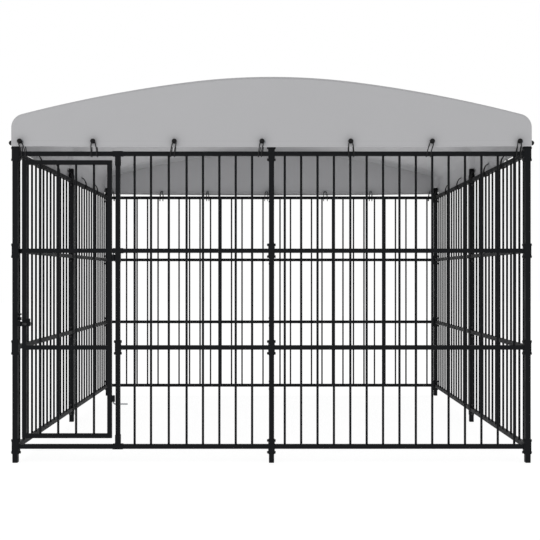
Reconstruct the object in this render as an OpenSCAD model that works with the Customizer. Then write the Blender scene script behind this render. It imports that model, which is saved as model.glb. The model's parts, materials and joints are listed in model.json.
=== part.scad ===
// Outdoor dog kennel run: bolted bar panels between square posts, a swinging
// door with a slide bolt, and a grey cloth roof tied down with ball bungees.
// The front, with the door at its left end, faces -Y. The feet stand on z = 0.

/* [Run] */
// Distance between neighbouring post centres, two bays to a side
bay = 1477; // [1200:1:1700]
// Width of the square posts
post = 30; // [28:1:36]
// Wall of the post tube
post_wall = 1.5; // [1.2:0.1:2.5]
// Height of the post tube's top end above the top rail's centre
post_over = 79; // [70:1:90]
// Height of the plastic foot under a post
foot_h = 8; // [5:0.5:20]
// Depth of the bevelled step at the bottom of a foot
foot_step = 2; // [1:0.5:4]
// Height of the cap on a post
cap_h = 6; // [3:0.5:12]
// Length of a foot or cap inside its post
plug_h = 20; // [12:1:25]
// Gap round a plug inside its post
plug_fit = 0.2; // [0.1:0.05:0.4]

/* [Rails and bars] */
// Width of the square rails, also of the door tubes and the door post
rail = 25; // [22:0.5:27]
// Wall of the rail tube
rail_wall = 1.5; // [1.2:0.1:2.5]
// Height of the bottom rail's centre
level_1 = 93; // [80:1:130]
// Height of the lower middle rail's centre
level_2 = 664; // [620:1:700]
// Height of the upper middle rail's centre
level_3 = 1222; // [1180:1:1300]
// Height of the top rail's centre
level_4 = 1781; // [1700:1:1900]
// Diameter of the upright bars
bar_d = 13.5; // [10:0.5:14]
// Wall of the bar tube
bar_wall = 1; // [0.8:0.1:1.5]
// Number of bars in a full bay
bar_count = 15; // [12:1:17]
// Distance from a post's centre to the nearest bar
bar_margin = 76.5; // [70:0.5:90]

/* [Brackets] */
// Thickness of end plates and saddles
plate_t = 4; // [3:0.5:5]
// Height of end plates and saddles
plate_h = 84; // [82:1:88]
// Diameter of the bracket bolts
bolt_d = 8; // [6:0.5:8]
// Distance of a bolt above or below its rail's centre
bolt_off = 34; // [28:0.5:34]
// Gap round a bolt in its hole
bolt_fit = 0.2; // [0.1:0.05:0.4]
// Gap between a nut and its thread
nut_fit = 0.05; // [0.02:0.01:0.1]
// Width across the flats of heads and nuts
hex_af = 13; // [10:0.5:13]
// Height of a bolt head
head_h = 5.3; // [3:0.1:6]
// Height of a nut
nut_h = 6.5; // [4:0.1:7]
// Bolt tip standing out of its nut
bolt_tip = 1; // [0.5:0.1:2]

/* [Door bay] */
// Distance from the front middle post to the door post, between centres
door_post_off = 886; // [860:1:920]
// Distance from the door post to the first bar beside it
door_bay_first = 96; // [80:1:110]
// Distance from the middle post to the last bar
door_bay_last = 112; // [100:1:130]
// Number of bars between the door post and the middle post
door_bay_count = 8; // [6:1:9]
// Extra width of the two gaps that follow the second bar
door_bay_extra = 8.2; // [0:0.2:9]
// Length of a tee sleeve along its rail
tee_arm = 59; // [50:1:70]
// Length of a tee's stem beyond the rail
tee_stem = 55; // [40:1:70]
// Wall of a tee sleeve
tee_wall = 2.3; // [1.5:0.1:2.5]
// Gap between a tee sleeve and its tube
tee_fit = 0.2; // [0.1:0.05:0.3]

/* [Door] */
// Gap between the corner post and the door
lock_gap = 24.5; // [23:0.5:30]
// Gap between the door and the door post
hinge_gap = 23; // [22:0.5:28]
// Gap under the door
door_gap_bottom = 36.5; // [20:0.5:50]
// Gap over the door
door_gap_top = 25; // [12:0.5:40]
// Number of bars in the door
door_bar_count = 4; // [3:1:6]

/* [Hinges] */
// Diameter of the hinge pins
pin_d = 8; // [6:0.5:10]
// Gap between a hinge pin and its barrel, on the radius
pin_fit = 0.05; // [0.02:0.01:0.1]
// Distance of the pin axis from the door's edge
pin_off = 10; // [9.5:0.1:11]
// Distance of the pin axis in front of the frame's middle plane
pin_forward = 6; // [6:0.1:6.5]
// Outside diameter of the hinge barrels
barrel_d = 18; // [16:0.5:18.5]
// Height of the hinge barrels
barrel_h = 36; // [24:1:50]
// Width of the weld that joins a barrel to the door
weld_w = 10; // [6:0.5:12]
// Height of the lower hinge barrel's centre
lower_hinge_z = 369; // [320:1:450]
// Gap between the upper barrel and the lug over it
lug_gap = 9; // [4:0.5:15]
// Radius of the rounded end of the lug round the upper pin
lug_r = 9; // [8:0.1:9.3]
// Length of the lug's square part past the pin axis
lug_tail = 3; // [1:0.1:3.5]
// Gap between the lower barrel and the bend of the rod under it
rod_gap = 1; // [0.5:0.5:4]
// Bend radius of the lower hinge rod
rod_bend = 12; // [10:0.5:13]
// Length of the lower hinge rod past the door post
rod_tail = 44; // [30:1:55]
// Length of a pin past the far end of its barrel
pin_end = 3; // [1:0.5:6]

/* [Latch] */
// Height of the slide bolt's centre
latch_z = 801; // [780:1:1000]
// Distance of the guide from the door's edge
guide_set = 0.5; // [0.5:0.1:1.5]
// Width of the latch guide
guide_w = 48; // [44:1:60]
// Sheet thickness of the guide and the keeper
latch_t = 3; // [2:0.1:3.5]
// Height of the slide bolt
latch_h = 20; // [14:0.5:24]
// Thickness of the slide bolt
latch_d = 8; // [6:0.5:9]
// Sliding gap round the bolt
latch_fit = 0.3; // [0.2:0.05:0.5]
// Travel of the bolt into the keeper
latch_travel = 20; // [12:0.5:20]
// Length of the bolt that stands out of the guide at the pull side
latch_tail = 4; // [2:0.5:14]
// Diameter of the bolt's pull peg
peg_d = 8; // [5:0.5:8]
// Diameter of the knob on the pull peg
knob_d = 14; // [10:0.5:16]
// Length of the peg and knob in front of the guide
peg_l = 16; // [10:0.5:17]
// Gap between the keeper and the door's edge
keeper_gap = 2.5; // [2:0.1:4]
// Wall of the keeper's tunnel over and under the bolt
keeper_wall = 4; // [3:0.1:5]
// Height of the keeper's plate above the bolt's centre
keeper_up = 60; // [55:1:75]
// Height of the ear above the keeper's tunnel
ear_h = 17; // [10:0.5:20]
// Gap between the tunnel and the ear over it
ear_gap = 7; // [4:0.5:12]
// Height of the tab at the top of the keeper's plate
tab_h = 10; // [6:0.5:14]
// Overlap of the door stop behind the door's edge
stop_lap = 14; // [8:0.5:22]
// Gap between the door stop and the door
stop_gap = 0.3; // [0.2:0.05:0.6]

/* [Roof] */
// Thickness of the roof cloth
cloth_t = 2; // [1:0.1:3]
// Gap between the posts and the cloth
cloth_gap = 3.5; // [1:0.1:5]
// Height of the roof's ridge above the top rail's centre
ridge_rise = 441; // [420:1:500]
// Half width of the crown's tighter arc
crown_half = 480; // [400:10:560]
// Radius of the crown's arc
crown_r = 3800; // [3600:10:4200]
// Radius of the arcs at the sides of the crown
flank_r = 7750; // [7200:10:8400]
// Radius of the rounded eaves
eave_r = 80; // [70:1:100]
// Height of the front hem above the top rail's centre
hem_rise = 36; // [30:1:44]
// Height of the rear hem above the top rail's centre
rear_rise = 25; // [14:1:30]
// Height of the side hems above the top rail's centre
side_rise = 22; // [16:1:30]
// Height of the side hems above the corner saddles
hem_gap = 3; // [1:0.5:5]
// Gap between a side hem's lower part and the corner saddles
notch_gap = 20; // [10:1:40]
// Diameter of the roof bows
bow_d = 22; // [19:0.5:23]
// Wall of the bow tube
bow_wall = 1.5; // [1:0.1:2.5]
// Gap between the bows and the cloth over them
bow_fit = 0.9; // [0.7:0.05:0.95]
// Step of the swaged couplings along a bow
swage_step = 0.4; // [0.3:0.05:0.6]
// Length of the swaged couplings above a joint
swage_l = 40; // [30:1:50]
// Length of the swaged couplings below a joint
swage_end = 6; // [4:0.5:8]
// Gap between a bow's leg and its cap or the bolt under it
leg_fit = 0.3; // [0.2:0.05:0.5]
// Bend radius of a bow over its leg
bow_bend = 60; // [50:1:80]
// Half length of the spigot in the middle of a bow
spigot_half = 85; // [40:1:150]
// Gap between a spigot and the bow
spigot_fit = 0.1; // [0.05:0.05:0.3]

/* [Bungees] */
// Height of the grommets above the front and rear hems
grommet_rise = 32; // [26:1:40]
// Place of a bay's inner tie, as a share of its row of bars
tie_near = 0.3; // [0.2:0.05:0.4]
// Place of a bay's outer tie, as a share of its row of bars
tie_far = 0.65; // [0.55:0.05:0.75]
// Gap between the outermost loops and the brackets beside them
tie_gap = 2.5; // [1:0.5:5]
// Distance of the tie over the grille from the middle of its gap
tie_shift = 16; // [10:0.5:20]
// Diameter of the elastic cord
cord_d = 5; // [3:0.5:5]
// Angle at which the two strands of a loop spread
cord_spread = 7; // [6:0.5:8]
// Radius of the cord's bends
cord_bend = 8; // [6:0.5:9]
// Gap between the cord and what it passes
cord_gap = 0.3; // [0.2:0.05:0.5]
// Diameter of the balls
ball_d = 29; // [24:0.5:32]
// Diameter of the hole in a ball
ball_bore = 14; // [13:0.5:15]
// Inside diameter of a grommet
grommet_bore = 12; // [11.5:0.5:13]
// Wall of a grommet's sleeve
grommet_wall = 1; // [0.8:0.1:1.5]
// Diameter of a grommet's rim
grommet_rim = 24; // [20:0.5:26]
// Thickness of a grommet's rim
grommet_rim_t = 1; // [0.6:0.1:1.2]
// Gap round a grommet in the cloth
grommet_fit = 0.2; // [0.1:0.05:0.3]

/* [Hidden] */
// Facets of a full circle
round_fn = 48;
$fn = round_fn;
// Facets of a full circle for the long arcs of the roof
arc_fn = 720;
// Steps of the crown, the flanks and the eaves in the cloth's outline
crown_n = 10;
flank_n = 20;
eave_n = 8;
// Length by which a cut runs past the surface that it opens
cut = 1;

post_half = post / 2;
post_top = level_4 + post_over;
rail_half = rail / 2;
levels = [level_1, level_2, level_3, level_4];
signs = [-1, 1];
plug_w = post - 2 * post_wall - 2 * plug_fit;

// Panels run from the middle post at 0 to the corner post at bay
plate_in = post_half + plate_t;
saddle_out = post_half + plate_t;
web_in = bay - post_half - plate_t;
plate_far = web_in - plate_t;
bar_pitch = (bay - 2 * bar_margin) / (bar_count - 1);
function bar_at(i) = bar_margin + i * bar_pitch;

// Door post and door, in the front plane
door_post_x = -door_post_off;
door_x0 = -bay + post_half + lock_gap;
door_x1 = door_post_x - rail_half - hinge_gap;
door_z0 = level_1 + rail_half + door_gap_bottom;
door_z1 = level_4 - rail_half - door_gap_top;
door_bar_pitch = (door_x1 - door_x0) / (door_bar_count + 1);
front_y = -bay;
pin_x = door_x1 + pin_off;
pin_y = front_y - pin_forward;
sleeve_half = rail_half + tee_fit + tee_wall;
upper_barrel_top = level_3 - rail_half - lug_gap;
lower_barrel_top = lower_hinge_z + barrel_h / 2;
rod_z = lower_hinge_z - barrel_h / 2 - rod_bend - rod_gap;
door_bay_span = door_post_off - door_bay_first - door_bay_last;
door_bay_pitch = (door_bay_span - 2 * door_bay_extra) / (door_bay_count - 1);
function door_bay_bar(k) =
    door_bay_first + k * door_bay_pitch + door_bay_extra * min(max(k - 1, 0), 2);

// Latch, measured from the door's front face and lock edge
door_front = front_y - rail_half;
bolt_back = door_front - latch_t - latch_fit;
bolt_front = bolt_back - latch_d;
guide_front = bolt_front - latch_fit - latch_t;
guide_half = latch_h / 2 + latch_fit + latch_t;
guide_x0 = door_x0 + guide_set;
bolt_x0 = guide_x0 + guide_set;
bolt_x1 = guide_x0 + guide_w + latch_tail;
peg_x = bolt_x0 + latch_travel + peg_d / 2 + latch_t;
post_face = -bay + post_half;

// Roof outline: a crown arc, two flank arcs, rounded eaves and a straight hem
roof_half = bay + post_half + cloth_gap + cloth_t;
roof_top = level_4 + ridge_rise;
hem = level_4 + hem_rise;
rear_hem = level_4 + rear_rise;
side_hem = level_4 + side_rise;
corner_hem = level_4 + plate_h / 2 + hem_gap;
notch = post_half + 2 * plate_t + notch_gap;
crown_a = asin(crown_half / crown_r);
flank_x = crown_half - flank_r * sin(crown_a);
flank_z = roof_top - crown_r + (crown_r - flank_r) * cos(crown_a);
function eave_a(half, r, inset) = asin((half - r - flank_x) / (flank_r - inset - r));
function eave_z(half, r, inset) = flank_z + (flank_r - inset - r) * cos(eave_a(half, r, inset));
function arc_points(x, z, r, a, b, n) =
    [for (i = [0:n]) let (t = a + (b - a) * i / n) [x + r * sin(t), z + r * cos(t)]];
function half_outline(inset, low) =
    let (half = roof_half - inset, r = eave_r - inset, a = eave_a(half, r, inset))
    concat(
        arc_points(0, roof_top - crown_r, crown_r - inset, 0, crown_a, crown_n),
        arc_points(flank_x, flank_z, flank_r - inset, crown_a, a, flank_n),
        arc_points(half - r, eave_z(half, r, inset), r, a, 90, eave_n),
        [[half, low]]);
function mirrored(points) = [for (i = [len(points) - 1:-1:1]) [-points[i][0], points[i][1]]];
function outline(inset, low) = concat(half_outline(inset, low), mirrored(half_outline(inset, low)));

// Bows: the same arcs inside the cloth, ending in a leg over a post's centre
bow_inset = cloth_t + bow_fit + bow_d / 2;
bow_a = eave_a(bay, bow_bend, bow_inset);
bow_z = eave_z(bay, bow_bend, bow_inset);
bow_low = level_4 + bolt_off + bolt_d / 2 + leg_fit;

// Bungees: u points outwards from the cloth's outer face, at the grommet
bungee_z = hem + grommet_rise;
rear_bungee_z = rear_hem + grommet_rise;
cord_r = cord_d / 2;
strand_side = cord_r + cord_gap / 2;
cord_in = -(roof_half - (bay - post_half - cord_gap - cord_r));
ball_u = grommet_rim_t + cord_gap + ball_d / 2;
function cord_drop(z) = (z - (level_4 - rail_half - cord_gap - cord_r)) / cos(cord_spread);
// Where the loops hang: beside the posts, and at or between the bars
cord_reach = strand_side + cord_drop(bungee_z) * tan(cord_spread) + cord_r;
corner_tie = plate_far - cord_reach - tie_gap;
middle_tie = plate_in + nut_h + bolt_tip + cord_reach + tie_gap;
near_bar = round(tie_near * (bar_count - 1));
far_bar = round(tie_far * (bar_count - 1));
near_tie = bar_at(near_bar);
far_tie = bar_at(far_bar);
door_tie = door_x1 - door_bar_pitch;
grille_tie = door_post_x + (door_bay_bar(2) + door_bay_bar(3)) / 2 - tie_shift;
front_ties = [-corner_tie, door_tie, grille_tie, -middle_tie, near_tie, far_tie, corner_tie];
rear_ties = [-corner_tie, -bar_at(far_bar + 0.65), -bar_at(near_bar + 1.3), -middle_tie,
             bar_at(near_bar + 0.3), bar_at(far_bar - 0.35), corner_tie];
side_ties = [-corner_tie, -far_tie, -near_tie, -middle_tie, near_tie, far_tie, corner_tie];

steel = "#1f2022";
zinc = "#9a9da1";
oxide = "#2b2c2e";
plastic = "#191919";
cloth = "#b1b1b3";
elastic = "#161616";

// Shared shapes

// A block between two opposite corners
module block(low, high) {
    translate(low) cube(high - low);
}

// A square tube or bar along X, centred on the axis
module bar_x(x0, x1, w) {
    block([x0, -w / 2, -w / 2], [x1, w / 2, w / 2]);
}

// A round hole or rod along X
module rod_x(x0, x1, d) {
    translate([x0, 0, 0]) rotate([0, 90, 0]) cylinder(d = d, h = x1 - x0);
}

// A round rod bent in the XZ plane, with angles from +Z towards +X
module arc_rod(x, z, r, a, b, d) {
    translate([x, 0, z]) rotate([90, 0, 0]) rotate([0, 0, 90 - b])
        rotate_extrude(angle = b - a, $fn = arc_fn) translate([r, 0]) circle(d = d, $fn = round_fn);
}

// The two bolt holes of a bracket, along X
module bolt_holes_x(x0, x1) {
    for (z = [-bolt_off, bolt_off]) translate([0, 0, z]) rod_x(x0, x1, bolt_d + 2 * bolt_fit);
}

// A hexagonal head or nut along X, with a flat upwards
module hex_x(x0, x1) {
    translate([x0, 0, 0]) rotate([0, 90, 0]) cylinder(d = hex_af / cos(30), h = x1 - x0, $fn = 6);
}

// Posts

// A post tube with bolt holes along X, or along Y where turned
module post_tube(turned) {
    color(steel) difference() {
        block([-post_half, -post_half, foot_h], [post_half, post_half, post_top]);
        block([post_wall - post_half, post_wall - post_half, foot_h - cut],
              [post_half - post_wall, post_half - post_wall, post_top + cut]);
        for (z = levels) translate([0, 0, z]) rotate([0, 0, turned ? 90 : 0])
            bolt_holes_x(-post, post);
    }
}

// A plastic foot: a bevelled pad and a plug in the tube
module foot() {
    color(plastic) {
        block([foot_step - post_half, foot_step - post_half, 0],
              [post_half - foot_step, post_half - foot_step, foot_step]);
        block([-post_half, -post_half, foot_step], [post_half, post_half, foot_h]);
        block([-plug_w / 2, -plug_w / 2, foot_h], [plug_w / 2, plug_w / 2, foot_h + plug_h]);
    }
}

// A cap with its plug, bored where a bow passes through
module cap(bored) {
    difference() {
        union() {
            block([-post_half, -post_half, post_top], [post_half, post_half, post_top + cap_h]);
            block([-plug_w / 2, -plug_w / 2, post_top - plug_h], [plug_w / 2, plug_w / 2, post_top]);
        }
        if (bored) translate([0, 0, post_top - plug_h - cut])
            cylinder(d = bow_d + 2 * leg_fit, h = plug_h + cap_h + 2 * cut);
    }
}

module post_caps() {
    color(plastic) {
        for (x = signs, y = [-1, 0, 1]) translate([x * bay, y * bay, 0]) cap(true);
        for (y = signs) translate([0, y * bay, 0]) cap(false);
    }
}

// Panels

// A welded end plate at x0, standing on a rail's end
module end_plate(x0, w) {
    block([x0, -w / 2, -plate_h / 2], [x0 + plate_t, w / 2, plate_h / 2]);
}

// A saddle that straddles the corner post: a web and two cheeks
module saddle() {
    block([web_in, -saddle_out, -plate_h / 2], [bay - post_half, saddle_out, plate_h / 2]);
    for (s = signs) translate([0, s * (post_half + plate_t / 2), 0])
        block([web_in, -plate_t / 2, -plate_h / 2], [bay + post_half, plate_t / 2, plate_h / 2]);
}

// A full bay from the middle post at 0 to the corner post at bay: front and
// rear panels end in plates, side panels in saddles. A side panel's plate
// reaches half of the way from the post to the cloth
module panel(saddled) {
    rail_end = saddled ? web_in : plate_far;
    near_w = saddled ? post + cloth_gap : post;
    color(steel) difference() {
        union() {
            for (z = levels) translate([0, 0, z]) {
                bar_x(plate_in, rail_end, rail);
                end_plate(post_half, near_w);
                if (saddled) saddle();
                else end_plate(plate_far, post);
            }
            for (i = [0:bar_count - 1]) translate([bar_at(i), 0, level_1])
                cylinder(d = bar_d, h = level_4 - level_1);
        }
        for (z = levels) translate([0, 0, z]) {
            bar_x(post_half - cut, bay - post_half + cut, rail - 2 * rail_wall);
            bolt_holes_x(post_half - cut, plate_in + cut);
            if (saddled) translate([bay, 0, 0]) rotate([0, 0, 90]) bolt_holes_x(-post, post);
            else bolt_holes_x(plate_far - cut, web_in + cut);
        }
        for (i = [0:bar_count - 1]) translate([bar_at(i), 0, level_1])
            cylinder(d = bar_d - 2 * bar_wall, h = level_4 - level_1);
    }
}

module front_right_panel() { translate([0, -bay, 0]) panel(false); }
module rear_right_panel() { translate([0, bay, 0]) panel(false); }
module rear_left_panel() { translate([0, bay, 0]) mirror([1, 0, 0]) panel(false); }
module left_front_panel() { translate([-bay, 0, 0]) rotate([0, 0, -90]) panel(true); }
module left_rear_panel() { translate([-bay, 0, 0]) rotate([0, 0, 90]) panel(true); }
module right_front_panel() { translate([bay, 0, 0]) rotate([0, 0, -90]) panel(true); }
module right_rear_panel() { translate([bay, 0, 0]) rotate([0, 0, 90]) panel(true); }

// Door bay: single tubes and a short grille, so that the doorway stays open

// A rail over the whole bay, with its end plates
module door_bay_rail(z) {
    color(steel) translate([0, -bay, z]) mirror([1, 0, 0]) difference() {
        union() {
            bar_x(plate_in, plate_far, rail);
            end_plate(post_half, post);
            end_plate(plate_far, post);
        }
        bar_x(post_half - cut, web_in + cut, rail - 2 * rail_wall);
        bolt_holes_x(post_half - cut, plate_in + cut);
        bolt_holes_x(plate_far - cut, web_in + cut);
    }
}

module door_bay_top_rail() { door_bay_rail(level_4); }
module door_bay_bottom_rail() { door_bay_rail(level_1); }

// The bars and middle rails between the middle post and the door post
module door_bay_grille() {
    post_side = door_post_off - rail_half;
    bar_low = level_1 + rail_half;
    bar_l = level_4 - rail_half - bar_low;
    color(steel) translate([0, -bay, 0]) mirror([1, 0, 0]) difference() {
        union() {
            for (z = [level_2, level_3]) translate([0, 0, z]) {
                bar_x(plate_in, post_side, rail);
                end_plate(post_half, post);
            }
            translate([0, 0, level_2]) end_plate(post_side - plate_t, rail);
            for (k = [0:door_bay_count - 1]) translate([door_post_off - door_bay_bar(k), 0, bar_low])
                cylinder(d = bar_d, h = bar_l);
        }
        for (z = [level_2, level_3]) translate([0, 0, z]) {
            bar_x(post_half - cut, post_side + cut, rail - 2 * rail_wall);
            bolt_holes_x(post_half - cut, plate_in + cut);
        }
        translate([0, 0, level_2]) bolt_holes_x(post_side - plate_t - cut, post_side + cut);
        for (k = [0:door_bay_count - 1]) translate([door_post_off - door_bay_bar(k), 0, bar_low - cut])
            cylinder(d = bar_d - 2 * bar_wall, h = bar_l + 2 * cut);
    }
}

// The door post stands between the top and bottom rails
module door_post() {
    low = level_1 + rail_half;
    high = level_4 - rail_half;
    bore = rail_half - rail_wall;
    color(steel) translate([door_post_x, front_y, 0]) difference() {
        block([-rail_half, -rail_half, low], [rail_half, rail_half, high]);
        block([-bore, -bore, low - cut], [bore, bore, high + cut]);
        translate([0, 0, level_2]) bolt_holes_x(-rail, rail);
        translate([0, -pin_forward, rod_z]) rod_x(-rail, rail, pin_d + 2 * pin_fit);
    }
}

// Backing plate on the door side of the door post
module door_post_plate() {
    color(steel) translate([door_post_x - rail_half - plate_t, front_y, level_2]) difference() {
        end_plate(0, rail);
        bolt_holes_x(-cut, plate_t + cut);
    }
}

// A tee of square sleeve, with its stem towards +Z
module tee() {
    inner = rail_half + tee_fit;
    stem = rail_half + tee_stem;
    difference() {
        union() {
            bar_x(-tee_arm / 2, tee_arm / 2, 2 * sleeve_half);
            block([-sleeve_half, -sleeve_half, 0], [sleeve_half, sleeve_half, stem]);
        }
        bar_x(-tee_arm / 2 - cut, tee_arm / 2 + cut, 2 * inner);
        block([-inner, -inner, 0], [inner, inner, stem + cut]);
    }
}

module bottom_tee() { color(steel) translate([door_post_x, front_y, level_1]) tee(); }
module top_tee() { color(steel) translate([door_post_x, front_y, level_4]) mirror([0, 0, 1]) tee(); }

// The tee on the door post that holds the grille's rail and, on a lug, the upper pin
module hinge_tee() {
    inner = rail_half + tee_fit;
    stem = rail_half + tee_stem;
    color(steel) translate([0, front_y, level_3]) difference() {
        union() {
            block([door_post_x, -sleeve_half, -sleeve_half],
                  [door_post_x + tee_arm / 2, sleeve_half, sleeve_half]);
            block([door_post_x - sleeve_half, -sleeve_half, -stem],
                  [door_post_x + sleeve_half, sleeve_half, sleeve_half]);
            block([pin_x - lug_tail, -sleeve_half, -sleeve_half],
                  [door_post_x - inner, sleeve_half, sleeve_half]);
            translate([pin_x, -pin_forward, -rail_half]) cylinder(r = lug_r, h = rail);
        }
        block([door_post_x, -inner, -inner], [door_post_x + tee_arm / 2 + cut, inner, inner]);
        block([door_post_x - inner, -inner, -stem - cut],
              [door_post_x + inner, inner, sleeve_half + cut]);
        translate([pin_x, -pin_forward, -sleeve_half - cut])
            cylinder(d = pin_d + 2 * pin_fit, h = 2 * sleeve_half + 2 * cut);
    }
}

// The upper pin hangs down from the lug
module upper_hinge_pin() {
    low = upper_barrel_top - barrel_h - pin_end;
    color(zinc) translate([pin_x, pin_y, low]) cylinder(d = pin_d, h = level_3 + sleeve_half - low);
}

// The lower pin is a bent rod through the door post
module lower_hinge_rod() {
    high = lower_barrel_top + pin_end;
    color(zinc) translate([0, pin_y, 0]) {
        translate([pin_x, 0, rod_z + rod_bend]) cylinder(d = pin_d, h = high - rod_z - rod_bend);
        arc_rod(pin_x + rod_bend, rod_z + rod_bend, rod_bend, 180, 270, pin_d);
        translate([0, 0, rod_z]) rod_x(pin_x + rod_bend, door_post_x + rail_half + rod_tail, pin_d);
    }
}

// A tab on the corner saddle that the door closes against
module door_stop() {
    color(steel) block([-web_in, front_y + rail_half + stop_gap, level_3 - rail_half],
                       [door_x0 + stop_lap, front_y + post_half, level_3 + rail_half]);
}

// Door

module door_frame() {
    bars = [for (i = [1:door_bar_count]) door_x0 + i * door_bar_pitch];
    rails = [door_z0 + rail_half, level_2, level_3, door_z1 - rail_half];
    bore = rail_half - rail_wall;
    color(steel) translate([0, front_y, 0]) difference() {
        union() {
            for (x = [door_x0 + rail_half, door_x1 - rail_half])
                block([x - rail_half, -rail_half, door_z0], [x + rail_half, rail_half, door_z1]);
            for (z = rails) translate([0, 0, z]) bar_x(door_x0 + rail_half, door_x1 - rail_half, rail);
            for (x = bars) translate([x, 0, rails[0]]) cylinder(d = bar_d, h = rails[3] - rails[0]);
        }
        for (x = [door_x0 + rail_half, door_x1 - rail_half])
            block([x - bore, -bore, door_z0 - cut], [x + bore, bore, door_z1 - rail_wall]);
        for (z = rails) translate([0, 0, z])
            bar_x(door_x0 + rail_wall, door_x1 - rail_wall, rail - 2 * rail_wall);
        for (x = bars) translate([x, 0, rails[0]])
            cylinder(d = bar_d - 2 * bar_wall, h = rails[3] - rails[0]);
    }
}

// A hinge barrel with the weld that joins it to the door's edge
module barrel(low) {
    color(steel) translate([pin_x, pin_y, low]) difference() {
        union() {
            cylinder(d = barrel_d, h = barrel_h);
            block([-pin_off, -weld_w / 2, 0], [0, weld_w / 2, barrel_h]);
        }
        translate([0, 0, -cut]) cylinder(d = pin_d + 2 * pin_fit, h = barrel_h + 2 * cut);
    }
}

module upper_hinge_barrel() { barrel(upper_barrel_top - barrel_h); }
module lower_hinge_barrel() { barrel(lower_barrel_top - barrel_h); }

// The guide: a folded sheet box on the door's edge, with a slot for the peg
module latch_guide() {
    slot = peg_d + 2 * latch_fit;
    color(steel) translate([0, 0, latch_z]) difference() {
        block([guide_x0, guide_front, -guide_half], [guide_x0 + guide_w, door_front, guide_half + ear_h]);
        block([guide_x0 - cut, bolt_front - latch_fit, -latch_h / 2 - latch_fit],
              [guide_x0 + guide_w + cut, bolt_back + latch_fit, latch_h / 2 + latch_fit]);
        block([guide_x0 - cut, guide_front - cut, guide_half],
              [guide_x0 + guide_w + cut, bolt_back + latch_fit, guide_half + ear_h + cut]);
        block([peg_x - latch_travel - slot / 2, guide_front - cut, -slot / 2],
              [peg_x + slot / 2, bolt_front, slot / 2]);
    }
}

// The flat bolt with its peg and knob
module latch_bolt() {
    color(oxide) translate([0, 0, latch_z]) {
        block([bolt_x0, bolt_front, -latch_h / 2], [bolt_x1, bolt_back, latch_h / 2]);
        translate([peg_x, bolt_front, 0]) rotate([90, 0, 0]) {
            cylinder(d = peg_d, h = latch_fit + latch_t + peg_l);
            translate([0, 0, latch_fit + latch_t + peg_l / 2]) cylinder(d = knob_d, h = peg_l / 2);
        }
    }
}

// The keeper on the corner post: a plate with a tunnel for the bolt, an ear and a tab
module latch_keeper() {
    inner_z = latch_h / 2 + latch_fit;
    outer_z = inner_z + keeper_wall;
    tunnel_x1 = door_x0 - keeper_gap;
    color(steel) translate([0, 0, latch_z]) difference() {
        union() {
            block([post_face, guide_front, -outer_z],
                  [post_face + latch_t, front_y + rail_half, keeper_up]);
            block([post_face, guide_front, -outer_z], [tunnel_x1, door_front, outer_z]);
            block([post_face, door_front, outer_z + ear_gap],
                  [tunnel_x1, door_front + latch_t, outer_z + ear_gap + ear_h]);
            block([post_face, door_front, keeper_up - tab_h],
                  [tunnel_x1, door_front + latch_t, keeper_up]);
        }
        block([post_face + latch_t, bolt_front - latch_fit, -inner_z],
              [tunnel_x1 + cut, bolt_back + latch_fit, inner_z]);
    }
}

// Bracket bolts and nuts, each placed by the face its head stands on

// A bolt along -X from a head on the face x = 0, through the given grip
module bolt(grip) {
    hex_x(0, head_h);
    rod_x(-grip - nut_h - bolt_tip, 0, bolt_d);
}

module nut(grip) {
    difference() {
        hex_x(-grip - nut_h, -grip);
        rod_x(-grip - nut_h - cut, cut - grip, bolt_d + 2 * nut_fit);
    }
}

// Every bracket: children get the grip in $grip
module at_brackets() {
    wide = post + 2 * plate_t;
    for (z = levels, s = signs) translate([0, 0, z + s * bolt_off]) {
        for (x = signs, y = signs) {
            plain = x < 0 && y < 0 && (z == level_2 || z == level_3);
            $grip = plain ? wide : wide + plate_t;
            translate([x * (bay + saddle_out), y * bay, 0]) rotate([0, 0, x < 0 ? 180 : 0]) children();
        }
        for (y = signs) {
            $grip = wide;
            translate([saddle_out, y * bay, 0]) children();
        }
        for (x = signs) {
            $grip = wide;
            translate([x * bay, saddle_out, 0]) rotate([0, 0, 90]) children();
        }
        if (z == level_2) {
            $grip = rail + 2 * plate_t;
            translate([door_post_x + rail_half + plate_t, front_y, 0]) children();
        }
    }
}

module bracket_bolts() { color(oxide) at_brackets() bolt($grip); }
module bracket_nuts() { color(oxide) at_brackets() nut($grip); }

// Roof

// A short straight coupling over a joint of two arcs, at an angle from +Z, that
// reaches further up the bow than down it
module coupling(a, d, up, down) {
    r = flank_r - bow_inset;
    translate([flank_x + r * sin(a), 0, flank_z + r * cos(a)]) rotate([0, a, 0]) rod_x(-up, down, d);
}

// Half a bow, on the side of +X: leg, bend, flank and half the crown. The
// couplings stand out by the step, and in the bore they cut in by it
module half_bow(d, step, up, down) {
    translate([bay, 0, bow_low]) cylinder(d = d, h = bow_z - bow_low);
    translate([bay, 0, bow_z - up]) cylinder(d = d + 2 * step, h = up + down);
    arc_rod(bay - bow_bend, bow_z, bow_bend, bow_a, 90, d);
    coupling(bow_a, d + 2 * step, up, down);
    arc_rod(flank_x, flank_z, flank_r - bow_inset, crown_a, bow_a, d);
    coupling(crown_a, d + 2 * step, up, down);
    arc_rod(0, roof_top - crown_r, crown_r - bow_inset, 0, crown_a, d);
}

module bow(y, left) {
    color(steel) translate([0, y, 0]) mirror([left ? 1 : 0, 0, 0]) difference() {
        half_bow(bow_d, swage_step, swage_l, swage_end);
        half_bow(bow_d - 2 * bow_wall, swage_step / 2, swage_l / 2, swage_end / 2);
    }
}

module front_bow_left() { bow(-bay, true); }
module front_bow_right() { bow(-bay, false); }
module middle_bow_left() { bow(0, true); }
module middle_bow_right() { bow(0, false); }
module rear_bow_left() { bow(bay, true); }
module rear_bow_right() { bow(bay, false); }

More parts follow.
